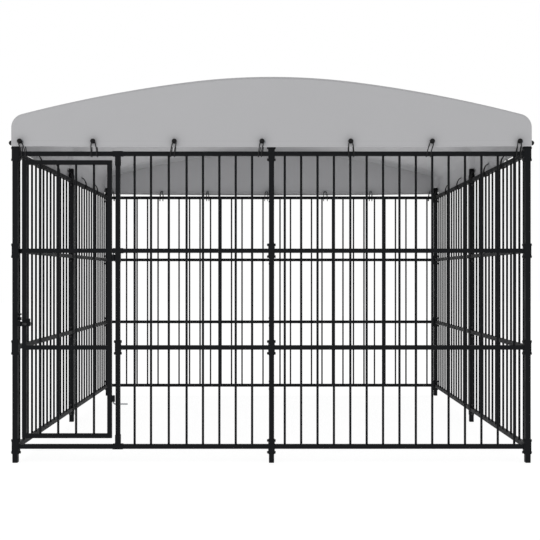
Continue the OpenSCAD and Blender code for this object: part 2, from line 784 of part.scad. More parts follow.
// A short bent rod inside each bow joins its halves
module bow_spigots() {
    r = crown_r - bow_inset;
    a = asin(spigot_half / r);
    color(zinc) for (y = [-bay, 0, bay]) translate([0, y, 0])
        arc_rod(0, roof_top - crown_r, r, -a, a, bow_d - 2 * bow_wall - 2 * spigot_fit);
}

// Places a child, made with +X outwards from the cloth, at every grommet of a side
module at_ties(ties, turn, z) {
    rotate([0, 0, turn]) for (t = ties) translate([roof_half, t, z]) children();
}
module at_front_ties() { mirror([0, 1, 0]) at_rear_side(front_ties, bungee_z) children(); }
module at_rear_ties() { at_rear_side(rear_ties, rear_bungee_z) children(); }
module at_rear_side(ties, z) { at_ties([for (t = ties) -t], 90, z) children(); }
module at_left_ties() { mirror([1, 0, 0]) at_ties(side_ties, 0, bungee_z) children(); }
module at_right_ties() { at_ties(side_ties, 0, bungee_z) children(); }

// The hole that a grommet takes in the cloth
module grommet_hole() {
    rod_x(-cloth_t - cut, cut, grommet_bore + 2 * grommet_wall + 2 * grommet_fit);
}

// The arched sheet, with its side hems cut higher at the corners
module roof_sheet() {
    length = 2 * (roof_half - cloth_t);
    color(cloth) difference() {
        translate([0, length / 2, 0]) rotate([90, 0, 0]) linear_extrude(length) difference() {
            polygon(outline(0, side_hem));
            polygon(outline(cloth_t, side_hem - cut));
        }
        for (y = [-bay, bay]) block([-roof_half - cut, y - notch, side_hem - cut],
                                    [roof_half + cut, y + notch, corner_hem]);
        at_left_ties() grommet_hole();
        at_right_ties() grommet_hole();
    }
}

// A flat end of the roof, with its outer face at y = roof_half
module roof_end(low) {
    translate([0, roof_half, 0]) rotate([90, 0, 0]) linear_extrude(cloth_t) polygon(outline(0, low));
}

module roof_front_end() {
    color(cloth) difference() {
        mirror([0, 1, 0]) roof_end(hem);
        at_front_ties() grommet_hole();
    }
}

module roof_rear_end() {
    color(cloth) difference() {
        roof_end(rear_hem);
        at_rear_ties() grommet_hole();
    }
}

// A grommet: a sleeve with a rim on each face of the cloth
module grommet() {
    difference() {
        union() {
            rod_x(-cloth_t, 0, grommet_bore + 2 * grommet_wall);
            rod_x(0, grommet_rim_t, grommet_rim);
            rod_x(-cloth_t - grommet_rim_t, -cloth_t, grommet_rim);
        }
        rod_x(-cloth_t - grommet_rim_t - cut, grommet_rim_t + cut, grommet_bore);
    }
}

module grommets() {
    color(oxide) {
        at_front_ties() grommet();
        at_rear_ties() grommet();
        at_left_ties() grommet();
        at_right_ties() grommet();
    }
}

// A ball with a hole in from the cloth's side and down to its strands
module ball() {
    translate([ball_u, 0, 0]) difference() {
        sphere(d = ball_d);
        sphere(d = ball_bore);
        rod_x(-ball_d, 0, ball_bore);
        translate([0, 0, -ball_d]) cylinder(d = ball_bore, h = ball_d);
    }
}

module bungee_balls() {
    color(plastic) {
        at_front_ties() ball();
        at_rear_ties() ball();
        at_left_ties() ball();
        at_right_ties() ball();
    }
}

// One strand: a rounded loop through the grommet, behind and under the rail,
// and up in front to the ball
module strand(drop) {
    r = cord_bend;
    low = -drop;
    rod_x(cord_in + r, ball_u - r, cord_d);
    arc_rod(cord_in + r, -r, r, 270, 360, cord_d);
    translate([cord_in, 0, low + r]) cylinder(d = cord_d, h = drop - 2 * r);
    arc_rod(cord_in + r, low + r, r, 180, 270, cord_d);
    translate([0, 0, low]) rod_x(cord_in + r, ball_u - r, cord_d);
    arc_rod(ball_u - r, low + r, r, 90, 180, cord_d);
    translate([ball_u, 0, low + r]) cylinder(d = cord_d, h = drop - 2 * r);
    arc_rod(ball_u - r, -r, r, 0, 90, cord_d);
}

// The two strands of a bungee lie side by side at the ball and spread below it
module bungee_cord(z) {
    for (s = signs) translate([0, s * strand_side, 0]) rotate([s * cord_spread, 0, 0]) strand(cord_drop(z));
}

module front_bungee_cords() { color(elastic) at_front_ties() bungee_cord(bungee_z); }
module rear_bungee_cords() { color(elastic) at_rear_ties() bungee_cord(rear_bungee_z); }
module left_bungee_cords() { color(elastic) at_left_ties() bungee_cord(bungee_z); }
module right_bungee_cords() { color(elastic) at_right_ties() bungee_cord(bungee_z); }

translate([-bay, -bay, 0]) post_tube(false);  // post_front_left
translate([0, -bay, 0]) post_tube(false);  // post_front_middle
translate([bay, -bay, 0]) post_tube(false);  // post_front_right
translate([-bay, 0, 0]) post_tube(true);  // post_left_middle
translate([bay, 0, 0]) post_tube(true);  // post_right_middle
translate([-bay, bay, 0]) post_tube(false);  // post_rear_left
translate([0, bay, 0]) post_tube(false);  // post_rear_middle
translate([bay, bay, 0]) post_tube(false);  // post_rear_right
translate([-bay, -bay, 0]) foot();  // foot_front_left
translate([0, -bay, 0]) foot();  // foot_front_middle
translate([bay, -bay, 0]) foot();  // foot_front_right
translate([-bay, 0, 0]) foot();  // foot_left_middle
translate([bay, 0, 0]) foot();  // foot_right_middle
translate([-bay, bay, 0]) foot();  // foot_rear_left
translate([0, bay, 0]) foot();  // foot_rear_middle
translate([bay, bay, 0]) foot();  // foot_rear_right
post_caps();
front_right_panel();
rear_left_panel();
rear_right_panel();
left_front_panel();
left_rear_panel();
right_front_panel();
right_rear_panel();
door_bay_top_rail();
door_bay_bottom_rail();
door_bay_grille();
door_post();
door_post_plate();
top_tee();
bottom_tee();
hinge_tee();
upper_hinge_pin();
lower_hinge_rod();
door_stop();
latch_keeper();
door_frame();
upper_hinge_barrel();
lower_hinge_barrel();
latch_guide();
latch_bolt();
bracket_bolts();
bracket_nuts();
front_bow_left();
front_bow_right();
middle_bow_left();
middle_bow_right();
rear_bow_left();
rear_bow_right();
bow_spigots();
roof_sheet();
roof_front_end();
roof_rear_end();
grommets();
bungee_balls();
front_bungee_cords();
rear_bungee_cords();
left_bungee_cords();
right_bungee_cords();
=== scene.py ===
import bpy
import json
import math
import numpy as np
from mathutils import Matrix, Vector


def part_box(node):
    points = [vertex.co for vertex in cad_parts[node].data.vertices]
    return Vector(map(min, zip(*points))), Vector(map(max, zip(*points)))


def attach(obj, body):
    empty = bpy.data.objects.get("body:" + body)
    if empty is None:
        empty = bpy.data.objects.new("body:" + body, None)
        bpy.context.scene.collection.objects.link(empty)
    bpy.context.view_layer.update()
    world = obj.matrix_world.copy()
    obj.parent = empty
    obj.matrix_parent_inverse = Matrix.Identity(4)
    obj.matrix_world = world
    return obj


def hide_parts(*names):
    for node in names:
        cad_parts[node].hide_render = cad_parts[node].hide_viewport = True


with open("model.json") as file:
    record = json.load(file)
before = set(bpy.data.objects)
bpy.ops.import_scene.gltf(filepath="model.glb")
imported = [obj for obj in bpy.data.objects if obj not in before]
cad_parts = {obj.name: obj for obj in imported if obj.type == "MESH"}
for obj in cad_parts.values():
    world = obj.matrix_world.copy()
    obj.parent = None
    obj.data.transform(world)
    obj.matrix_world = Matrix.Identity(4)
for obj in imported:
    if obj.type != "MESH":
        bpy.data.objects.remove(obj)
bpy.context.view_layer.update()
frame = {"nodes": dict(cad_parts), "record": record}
nodes = frame["nodes"]
print("frame loaded:", len(nodes), "nodes")


# camera: level, straight at the front, as far off as the rear panel's smaller scale asks for
cameraSet = {
    "place": (0.0, -6.741, 1.075),
    "lens": 60.8,
    "sensor": 36.0,
    "shift": (-0.0028, 0.0115),
    "clip": (0.1, 100.0),
}


def makeCamera(s):
    data = bpy.data.cameras.new("camera")
    data.lens, data.sensor_width = s["lens"], s["sensor"]
    data.shift_x, data.shift_y = s["shift"]
    data.clip_start, data.clip_end = s["clip"]
    cam = bpy.data.objects.new("camera", data)
    cam.location = s["place"]
    cam.rotation_euler = (math.pi / 2, 0.0, 0.0)
    bpy.context.scene.collection.objects.link(cam)
    bpy.context.scene.camera = cam


makeCamera(cameraSet)
print("camera set")


# sRGB hex to linear, with alpha 1
def lin(hexColour):
    c = np.array([int(hexColour[i:i + 2], 16) for i in (1, 3, 5)]) / 255.0
    c = np.where(c <= 0.04045, c / 12.92, ((c + 0.055) / 1.055) ** 2.4)
    return (*c.tolist(), 1.0)


# gives a node's inputs their values, or links them to other nodes' outputs
def setInputs(tree, node, inputs):
    for key, value in inputs.items():
        if isinstance(value, bpy.types.NodeSocket):
            tree.links.new(value, node.inputs[key])
        else:
            node.inputs[key].default_value = value


# adds one shader node and returns one of its outputs
def addNode(tree, kind, inputs=None, out=0, **settings):
    n = tree.nodes.new(kind)
    for key, value in settings.items():
        setattr(n, key, value)
    setInputs(tree, n, inputs or {})
    return n.outputs[out]


# a new material with its Principled shader, and the node tree
def newMaterial(name):
    mat = bpy.data.materials.new(name)
    mat.use_nodes = True
    return mat, mat.node_tree, mat.node_tree.nodes["Principled BSDF"]


# in the finishes a cloud, grain or crease is a noise's size and detail, and a bump its strength and depth
noiseMiddle = (0.3, 0.7)     # where most of a noise's values lie

# powder-coated steel tube: sprayed dry and baked, so satin black with a fine orange peel
powderSet = {
    "tones": ("#151618", "#191a1c"),
    "cloud": (0.09, 3.0),    # patches of thinner and thicker powder, 90 mm
    "roughness": (0.46, 0.60),
    "grain": (0.004, 1.0),   # real peel is 1 to 2 mm, drawn at 4 mm so that it shows
    "bump": (0.5, 0.00006),
    "sockets": {"Specular IOR Level": 0.05},
}

# zinc-plated steel: dipped bright, so pale blue-grey with a cloudy spangle
zincSet = {
    "tones": ("#9a9da0", "#6f7376"),
    "cloud": (1 / 90, 4.0),  # dull patches, 11 mm
    "spangle": 0.006,        # crystals, 6 mm
    "roughness": (0.28, 0.5),
    "grain": (1 / 90, 4.0),
    "bump": (0.3, 0.0001),
    "sockets": {"Metallic": 1.0},
}

# black-oxide steel of the bolts and nuts: oiled, so a little glossier than the powder coat
oxideSet = {
    "tones": ("#1a1a1b", "#2c2c2d"),
    "cloud": (0.002, 3.0),   # worn specks, 2 mm
    "roughness": (0.32, 0.5),
    "sockets": {"Specular IOR Level": 0.35},
}

# moulded polypropylene of feet, caps and balls: matte, with the mould's spark-eroded grain
plasticSet = {
    "tones": ("#0e0e0e", "#151516"),
    "cloud": (1 / 60, 2.0),  # flow marks, 17 mm
    "roughness": (0.5, 0.66),
    "grain": (0.0015, 2.0),  # real grain is about 0.1 mm, drawn at 1.5 mm so that it shows
    "bump": (0.4, 0.0001),
    "sockets": {"Specular IOR Level": 0.14},
}


# steel and plastic: tone and roughness follow the cloud and the bump the grain, and the tone of zinc is the
# cloud times the distance from its crystals' middles
def makeFinish(name, s):
    mat, tree, shader = newMaterial(name)
    place = addNode(tree, "ShaderNodeTexCoord", out="Object")
    noises = {}
    for key in [k for k in ("cloud", "grain") if k in s]:
        size, detail = s[key]
        inputs = {"Vector": place, "Scale": 1 / size, "Detail": detail}
        noises[key] = addNode(tree, "ShaderNodeTexNoise", inputs, "Fac")
    share = noises["cloud"]
    if "spangle" in s:
        inputs = {"Vector": place, "Scale": 1 / s["spangle"]}
        cells = addNode(tree, "ShaderNodeTexVoronoi", inputs, "Distance")
        share = addNode(tree, "ShaderNodeMath", {0: cells, 1: share}, operation="MULTIPLY")
    first, second = s["tones"]
    tone = addNode(tree, "ShaderNodeMix", {0: share, 6: lin(first), 7: lin(second)}, 2, data_type="RGBA")
    least, most = noiseMiddle
    low, high = s["roughness"]
    rough = addNode(tree, "ShaderNodeMapRange", {0: noises["cloud"], 1: least, 2: most, 3: low, 4: high})
    setInputs(tree, shader, {"Base Color": tone, "Roughness": rough, **s["sockets"]})
    if "grain" in s:
        strength, depth = s["bump"]
        inputs = {"Height": noises["grain"], "Strength": strength, "Distance": depth}
        setInputs(tree, shader, {"Normal": addNode(tree, "ShaderNodeBump", inputs)})
    return mat


# coated polyester canopy cloth: plain weave under a thin matte coat, sewn with thread of nearly its own grey
clothSet = {
    "colour": "#aeaeb0",
    "shade": "#acacae",
    "paintedShade": "#8f9092",       # painted shade: round the balls at the ties, and on the end pockets
    "thread": "#a5a5a7",
    "cloud": (0.2, 4.0),     # uneven dye, 200 mm
    "pitch": 0.003,          # real threads are 0.6 mm apart, drawn at 3 mm so that they show
    "weaveBump": (0.4, 0.00015),
    "crease": (0.14, 3.0),   # soft creases from folding, 140 mm
    "creaseBump": (0.35, 0.0006),
    "stitch": (0.012, 0.7),  # stitch length and the share of it that is thread
    "lineWidth": 0.0012,     # half the width of a stitch line, drawn double
    "hemLines": (0.008, 0.034),  # heights of a hem's stitch lines
    "sockets": {"Roughness": 0.78, "Specular IOR Level": 0.25, "Sheen Weight": 0.15},
}


# hemLines are heights above the hem; seamLines are values of the attribute "seam", stitched along a UV axis
def makeCloth(name, s, hemLines, seamLines, seamAlong):
    mat, tree, shader = newMaterial(name)
    place = addNode(tree, "ShaderNodeTexCoord", out="Object")
    uvMap = addNode(tree, "ShaderNodeUVMap", uv_map="cloth")
    uv = [addNode(tree, "ShaderNodeSeparateXYZ", {0: uvMap}, axis) for axis in (0, 1)]
    waves = []
    for along in uv:
        turn = addNode(tree, "ShaderNodeMath", {0: along, 1: 2 * math.pi / s["pitch"]}, operation="MULTIPLY")
        waves.append(addNode(tree, "ShaderNodeMath", {0: turn}, operation="SINE"))
    weave = addNode(tree, "ShaderNodeMath", {0: waves[0], 1: waves[1]}, operation="MULTIPLY")
    # stitches: dashes along the hem, and along the seams
    seam = addNode(tree, "ShaderNodeAttribute", out="Fac", attribute_name="seam")
    seam = addNode(tree, "ShaderNodeMath", {0: seam}, operation="ABSOLUTE")
    lines = [(uv[1], height, uv[0]) for height in hemLines]
    lines += [(seam, value, uv[seamAlong]) for value in seamLines]
    length, share = s["stitch"]
    mask = 0.0
    for across, value, along in lines:
        dash = addNode(tree, "ShaderNodeMath", {0: along, 1: length}, operation="DIVIDE")
        dash = addNode(tree, "ShaderNodeMath", {0: dash}, operation="FRACT")
        dash = addNode(tree, "ShaderNodeMath", {0: dash, 1: share}, operation="LESS_THAN")
        near = addNode(tree, "ShaderNodeMath", {0: across, 1: value, 2: s["lineWidth"]}, operation="COMPARE")
        mask = addNode(tree, "ShaderNodeMath", {0: near, 1: dash, 2: mask}, operation="MULTIPLY_ADD")
    mask = addNode(tree, "ShaderNodeMath", {0: mask, 1: 1.0}, operation="MINIMUM")
    cloud, crease = [
        addNode(tree, "ShaderNodeTexNoise", {"Vector": place, "Scale": 1 / size, "Detail": detail}, "Fac")
        for size, detail in (s["cloud"], s["crease"])]
    # painted shade, from a point attribute: round the ties and on the end pockets
    paintedShade = addNode(tree, "ShaderNodeAttribute", out="Fac", attribute_name="paintedShade")
    tone = lin(s["colour"])
    for part, colour in ((cloud, s["shade"]), (paintedShade, s["paintedShade"]), (mask, s["thread"])):
        tone = addNode(tree, "ShaderNodeMix", {0: part, 6: tone, 7: lin(colour)}, 2, data_type="RGBA")
    strength, depth = s["creaseBump"]
    soft = addNode(tree, "ShaderNodeBump", {"Height": crease, "Strength": strength, "Distance": depth})
    strength, depth = s["weaveBump"]
    fine = addNode(tree, "ShaderNodeMath", {0: weave, 1: mask}, operation="ADD")
    fine = addNode(tree, "ShaderNodeBump", {"Height": fine, "Strength": strength, "Distance": depth,
                                            "Normal": soft})
    setInputs(tree, shader, {"Base Color": tone, "Normal": fine, **s["sockets"]})
    return mat


# braided elastic cord: polyester cover in a diagonal braid over rubber, a dull black with fine ribs
elasticSet = {
    "tones": ("#101010", "#242425"),
    "pitch": 0.004,          # one turn of the braid along the cord
    "starts": 4.0,           # strands round the cord
    "bump": (0.6, 0.0003),
    "sockets": {"Roughness": 0.7, "Specular IOR Level": 0.3},
}


# the braid is the product of two waves that wind round the cord both ways
def makeElastic(name, s):
    mat, tree, shader = newMaterial(name)
    uvMap = addNode(tree, "ShaderNodeUVMap", uv_map="cord")
    turns = []
    for axis, rate in ((0, 2 * math.pi / s["pitch"]), (1, 2 * math.pi * s["starts"])):
        place = addNode(tree, "ShaderNodeSeparateXYZ", {0: uvMap}, axis)
        turns.append(addNode(tree, "ShaderNodeMath", {0: place, 1: rate}, operation="MULTIPLY"))
    waves = []
    for way in ("ADD", "SUBTRACT"):
        turn = addNode(tree, "ShaderNodeMath", {0: turns[0], 1: turns[1]}, operation=way)
        waves.append(addNode(tree, "ShaderNodeMath", {0: turn}, operation="SINE"))
    braid = addNode(tree, "ShaderNodeMath", {0: waves[0], 1: waves[1]}, operation="MULTIPLY")
    share = addNode(tree, "ShaderNodeMath", {0: braid, 1: 0.5, 2: 0.5}, operation="MULTIPLY_ADD")
    first, second = s["tones"]
    tone = addNode(tree, "ShaderNodeMix", {0: share, 6: lin(first), 7: lin(second)}, 2, data_type="RGBA")
    strength, depth = s["bump"]
    ribs = addNode(tree, "ShaderNodeBump", {"Height": share, "Strength": strength, "Distance": depth})
    setInputs(tree, shader, {"Base Color": tone, "Normal": ribs, **s["sockets"]})
    return mat


powderCoat = makeFinish("powder_coated_steel", powderSet)
zincPlate = makeFinish("zinc_plated_steel", zincSet)
blackOxide = makeFinish("black_oxide_steel", oxideSet)
mouldedPlastic = makeFinish("moulded_polypropylene", plasticSet)
elasticBraid = makeElastic("braided_elastic_cord", elasticSet)
print("materials made")


# quads of a grid of points by rows and columns; wrap closes it round the columns
def gridFaces(rows, cols, wrap=False, start=0):
    r = np.arange(rows - 1)[:, None] * cols
    c = np.arange(cols if wrap else cols - 1)[None, :]
    c2 = (c + 1) % cols
    quads = np.stack([r + c, r + c2, r + cols + c2, r + cols + c], axis=-1)
    return quads.reshape(-1, 4) + start


# a mesh piece from points and quads, with a UV pair for each corner of each quad
def makePiece(name, points, quads, material, uvName=None, uv=None, attributes=None):
    mesh = bpy.data.meshes.new(name)
    mesh.from_pydata(points.reshape(-1, 3).tolist(), [], quads.tolist())
    if uvName:
        layer = mesh.uv_layers.new(name=uvName)
        layer.data.foreach_set("uv", uv.astype(np.float32).ravel())
    for key, numbers in (attributes or {}).items():
        values = mesh.attributes.new(key, "FLOAT", "POINT")
        values.data.foreach_set("value", numbers.astype(np.float32).ravel())
    mesh.polygons.foreach_set("use_smooth", np.ones(len(mesh.polygons), bool))
    mesh.materials.append(material)
    mesh.update()
    piece = bpy.data.objects.new(name, mesh)
    bpy.context.scene.collection.objects.link(piece)
    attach(piece, "run")
    return piece


# a cloth piece: one UV pair for each point, and a thickness set off to one side or to both
def makeClothPiece(name, points, quads, material, uvPoint, attributes, thick, offset):
    uv = np.stack(uvPoint, axis=-1).reshape(-1, 2)[quads.ravel()]
    piece = makePiece(name, points, quads, material, "cloth", uv, attributes)
    wall = piece.modifiers.new("thickness", "SOLIDIFY")
    wall.thickness, wall.offset = thick, offset
    return piece


# from 0 to 1 with level ends
def smoothStep(share):
    share = np.clip(share, 0.0, 1.0)
    return share ** 2 * (3 - 2 * share)


# the roof's outline: signed distance from the ridge along the cloth gives the place and the slope's angle
roofBox = [np.array(v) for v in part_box("roof_sheet")]
outline = {
    "half": float(roofBox[1][0]),
    "ridge": float(roofBox[1][2]),
    "hem": float(roofBox[0][2]),
    "endY": float(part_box("roof_rear_end")[1].y),
    "crown": (3.8, 0.48),    # radius and half width
    "flank": 7.75,           # radii of the flanks and the eaves
    "eave": 0.080,
    "steps": 20001,          # points of the outline's table
    "fold": 0.004,           # radius of the fold between the arched sheet and an end
    "thick": 0.0016,
    "bows": (-1.477, 0.0, 1.477),
    "sag": 0.011,            # dip between two bows
    "sagEnd": (0.10, 0.5),   # where the dip ends before the eaves, and over which length it fades
    "eaveReach": 0.125,      # length of the finer grid before the eaves
    "apart": 0.002,          # the least distance between two lines of a grid
}


# angle along the outline: it turns evenly on each arc, and stays upright below the eave
def outlineTable(o):
    crownR, crownHalf = o["crown"]
    crownA = math.asin(crownHalf / crownR)
    flankX = crownHalf - o["flank"] * math.sin(crownA)
    flankZ = o["ridge"] - crownR + (crownR - o["flank"]) * math.cos(crownA)
    eaveA = math.asin((o["half"] - o["eave"] - flankX) / (o["flank"] - o["eave"]))
    eaveZ = flankZ + (o["flank"] - o["eave"]) * math.cos(eaveA)
    stops = np.cumsum([0.0, crownR * crownA, o["flank"] * (eaveA - crownA),
                       o["eave"] * (math.pi / 2 - eaveA), eaveZ - o["hem"]])
    run = np.linspace(0.0, stops[-1], o["steps"])
    angle = np.interp(run, stops, [0.0, crownA, eaveA, math.pi / 2, math.pi / 2])
    step = run[1] - run[0]
    mid = (angle[1:] + angle[:-1]) / 2
    x = np.concatenate([[0.0], np.cumsum(np.cos(mid) * step)])
    z = o["ridge"] - np.concatenate([[0.0], np.cumsum(np.sin(mid) * step)])
    return (run, x, z, angle), float(stops[3]), float(stops[4])


arch, archEave, archEnd = outlineTable(outline)


# place on the outline at a signed distance from the ridge, set in by a depth along the normal
def onArch(along, depth):
    run, x, z, angle = arch
    far = np.abs(along)
    a = np.interp(far, run, angle)
    outward = np.interp(far, run, x) - depth * np.sin(a)
    return np.sign(along) * outward, np.interp(far, run, z) - depth * np.cos(a)


# dip of the sheet between two bows: a cosine along the run, fading out before the eaves
def sagAt(along, y, o):
    bay = o["bows"][2]
    end, fade = o["sagEnd"]
    wave = o["sag"] * (1 - np.cos(2 * math.pi * y / bay)) / 2 * (np.abs(y) < bay)
    return wave * smoothStep((archEave - end - np.abs(along)) / fade)


# lines of a grid in order, without those that lie too close behind another
def gridLines(parts, o):
    lines = np.unique(np.concatenate(parts))
    return lines[np.concatenate([[True], np.diff(lines) > o["apart"]])]


# finer lines before both eaves
def nearEaves(count, o):
    lines = np.linspace(archEave - o["eaveReach"], archEave, count)
    return np.concatenate([lines, -lines])


sides = ("front", "rear", "left", "right")

tieSet = {
    "out": 0.001,            # points of a side's balls lie further out than the cloth by this
    "apart": 0.02,           # and two balls lie further apart than this
}


# where the bungees pull, read from the balls' CAD solids: distances along each side, and their height
def tiePlaces(s):
    co = np.array([v.co for v in nodes["bungee_balls"].data.vertices])
    found, up = {}, {}
    for side, axis, sign in zip(sides, (1, 1, 0, 0), (-1, 1, -1, 1)):
        there = co[co[:, axis] * sign > outline["endY"] + s["out"]]
        near = np.sort(there[:, 1 - axis])
        cuts = np.flatnonzero(np.diff(near) > s["apart"]) + 1
        found[side] = np.array([(g.min() + g.max()) / 2 for g in np.split(near, cuts)])
        up[side] = float(there[:, 2].min() + there[:, 2].max()) / 2
    return found, up


ties, tieUp = tiePlaces(tieSet)
print("ties:", {k: np.round(v, 3).tolist() for k, v in ties.items()}, tieUp)


# the hanging edges of the roof
skirtSet = {
    "shadeHalo": (0.026, 0.31),   # width and share of the painted shade round a tie, for the ball's shadow
    "bulge": (0.0010, 0.7),  # how far the cloth stands out between two ties, and how fast that fades upwards
    "width": 0.075,          # width of the pull at a tie
    "fold": (0.0007, 0.17),  # depth and spacing of the faint upright folds
    "drift": (1.7, 2.3),     # how far the folds wander, and how often
    "sideReach": 0.2,        # height of the bulge of the sheet's sides
    "corner": (0.12, 0.10),  # length over which a side or an end goes flat to a corner
    "scallop": (0.001, 0.1),  # how far the hem rises between two ties, and the width of the pull
    "lifted": 0.12,          # height up to which a side follows its hem's rise
    "frontRise": (0.005, 0.6),  # rise of the front hem at the corners, and over which length
    "rearRise": (-0.002, 0.0114),  # sag of the bowed rear hem in the middle, and its rise to the corners
    "notch": (0.0240, 0.045, 0.06),  # rise of a side hem at a corner, half width, and the run-out beside it
    # each front bay's hem rises between these places to this height
    "looseBay": {"left": (-1.02, -0.94, 0.0092), "right": (-0.90, -0.80, 0.0125)},
    "nearTie": (0.045, 16),  # reach of the finer grid round a tie, and its lines
}


# 0 at every tie and 1 far from them, by a bell curve of that width
def slack(place, where, width):
    pull = np.exp(-((place[..., None] - where) ** 2) / (2 * width ** 2))
    return 1.0 - np.minimum(pull.sum(-1), 1.0)


# outward bulge of a hanging edge: slack between the ties, fading upwards, with faint upright folds
def hangOut(place, up, reach, where, s):
    fade = np.clip(1.0 - up / reach, 0.0, 1.0)
    turn = 2 * math.pi * place / s["fold"][1] + s["drift"][0] * np.sin(s["drift"][1] * place)
    folds = s["fold"][0] * (1 + np.sin(turn)) / 2
    return slack(place, where, s["width"]) * (s["bulge"][0] * fade ** s["bulge"][1] + folds * fade)


# places for a finer grid round the ties, along a hem
def nearTies(where, s):
    reach, count = s["nearTie"]
    return (where[:, None] + np.linspace(-reach, reach, count)).ravel()


# share of the painted shade round the balls: a bell curve of the distance from the nearest tie
def shadeHaloAt(place, z, side, s):
    far = (place[..., None] - ties[side]) ** 2 + ((z - tieUp[side]) ** 2)[..., None]
    return s["shadeHalo"][1] * np.exp(-far / (2 * s["shadeHalo"][0] ** 2)).max(-1)


# rise of a hem between two ties, by the slack there
def scallopAt(place, side, s):
    return s["scallop"][0] * slack(place, ties[side], s["scallop"][1])


# rise of a side hem: flat at a corner and running out beside it, and an even slope in the loose bay
def sideRise(y, side, s, o):
    high, half, out = s["notch"]
    rise = high * smoothStep((half + out - np.abs(np.abs(y) - o["bows"][2])) / out)
    start, end, loose = s["looseBay"][side]
    rise = np.maximum(rise, loose * np.clip((end - y) / (end - start), 0.0, 1.0))
    return rise + scallopAt(y, side, s)


# rise of an end's hem: near the corners at the front, and a bow at the rear
def endRise(x, side, s, o):
    high, length = s["frontRise"]
    rise = high * smoothStep((np.abs(x) - o["half"]) / length + 1.0)
    if side == "rear":
        rise = s["rearRise"][0] + s["rearRise"][1] * (x / o["half"]) ** 2
    inner = np.clip((o["half"] - np.abs(x)) / s["corner"][1], 0.0, 1.0)
    return rise + scallopAt(x, side, s) * inner


pocketSet = {
    "loose": 0.0136,         # distance of the pocket from a bow's axis, under it
    "axis": (0.0139, 0.0205),  # depth of a bow's axis under the cloth, on the arch and at its leg
    "bend": 0.11,            # length of a bow's bend over its leg
    "under": 0.0022,         # depth of a sewn edge
    "seam": (0.165, 0.034),  # distance of a seam from its bow, on the arch and at a leg's foot
    "taper": (0.30, 0.03),   # length over which a pocket narrows, before the eave and after it
    "byEnd": 0.0172,         # distance of the edge that is sewn to a roof end
    "paintedShade": 0.55,            # share of painted shade on an end pocket
    "fade": 0.07,            # distance from the seam over which the painted shade grows
    "clear": 0.003,          # gap over the post caps
    "along": 190,
    "byEave": 12,
    "around": 16,
    "thick": 0.0008,
}


# distance of a pocket's seam from its bow: it narrows from the arch to a leg's foot
def seamAt(along, s):
    before, after = s["taper"]
    share = smoothStep((np.abs(along) - archEave + before) / (before + after))
    return s["seam"][0] + (s["seam"][1] - s["seam"][0]) * share


sheetSet = {
    "along": 140,            # columns over the arch
    "across": 150,           # rows from front to rear
    "byEave": 14,            # finer columns before an eave
    "byHem": (0.09, 16),     # height of the finer grid over a hem, and its lines
    "roll": 7,               # lines round a folded edge
}


# arched sheet: point (l, y) lies on the outline at l, set in by the sag between the bows, rolled in at both
# ends on a quarter circle, and out on the hanging sides by the bulge between the ties
def makeRoofSheet(s, o, skirt):
    byHem = archEnd - np.linspace(0.0, *s["byHem"])
    even = np.linspace(-1.0, 1.0, s["along"]) * archEnd
    l = gridLines([even, nearEaves(s["byEave"], o), byHem, -byHem], o)
    flatEnd = o["endY"] - o["fold"]
    flatY = gridLines([np.linspace(-1.0, 1.0, s["across"]) * flatEnd,
                       nearTies(ties["left"], skirt), nearTies(ties["right"], skirt)], o)
    roll = np.linspace(0.0, math.pi / 2, s["roll"])[1:]
    rollY = flatEnd + o["fold"] * np.sin(roll)
    drop = o["fold"] * (1 - np.cos(roll))
    y = np.concatenate([-rollY[::-1], flatY, rollY])[:, None]
    rolled = np.concatenate([drop[::-1], 0 * flatY, drop])[:, None]
    up = archEnd - np.abs(l)[None, :]

    def bySide(work):
        return np.where(l[None, :] < 0, work("left"), work("right"))

    out = bySide(lambda side: hangOut(y, up, skirt["sideReach"], ties[side], skirt))
    out = out * np.clip((o["endY"] - np.abs(y)) / skirt["corner"][0], 0.0, 1.0)
    x, z = onArch(np.broadcast_to(l, out.shape), sagAt(l[None, :], y, o) + rolled - out)
    z = z + bySide(lambda side: sideRise(y, side, skirt, o)) * np.clip(1 - up / skirt["lifted"], 0.0, 1.0)
    wideY = np.broadcast_to(y, x.shape)
    # painted shade round the ties of the sheet's sides
    shadeHalo = bySide(lambda side: shadeHaloAt(wideY, z, side, skirt)) * (up < skirt["lifted"])
    seam = np.minimum(np.abs(y), np.abs(o["bows"][2] - np.abs(y))) - seamAt(l, pocketSet)
    mat = makeCloth("coated_polyester_arch", clothSet, clothSet["hemLines"], (0.0,), 1)
    points = np.stack([x, wideY, z], axis=-1)
    uvPoint = (wideY, np.broadcast_to(up, x.shape))
    attributes = {"seam": seam, "paintedShade": shadeHalo}
    piece = makeClothPiece("roofSheet", points, gridFaces(*x.shape), mat, uvPoint, attributes,
                           o["thick"], -1.0)
    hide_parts("roof_sheet")
    return piece


roofSheet = makeRoofSheet(sheetSet, outline, skirtSet)
print("roof sheet:", len(roofSheet.data.polygons), "faces")


endSet = {
    "columns": 200,
    "byEave": 14,
    "rows": 30,
    "hemRows": ((0.0, 0.035, 8), (0.0395, 0.0405, 2), (0.046, 0.076, 7)),  # finer rows over the hem
    "seam": 0.006,           # distance of the stitches from the folded edge
}


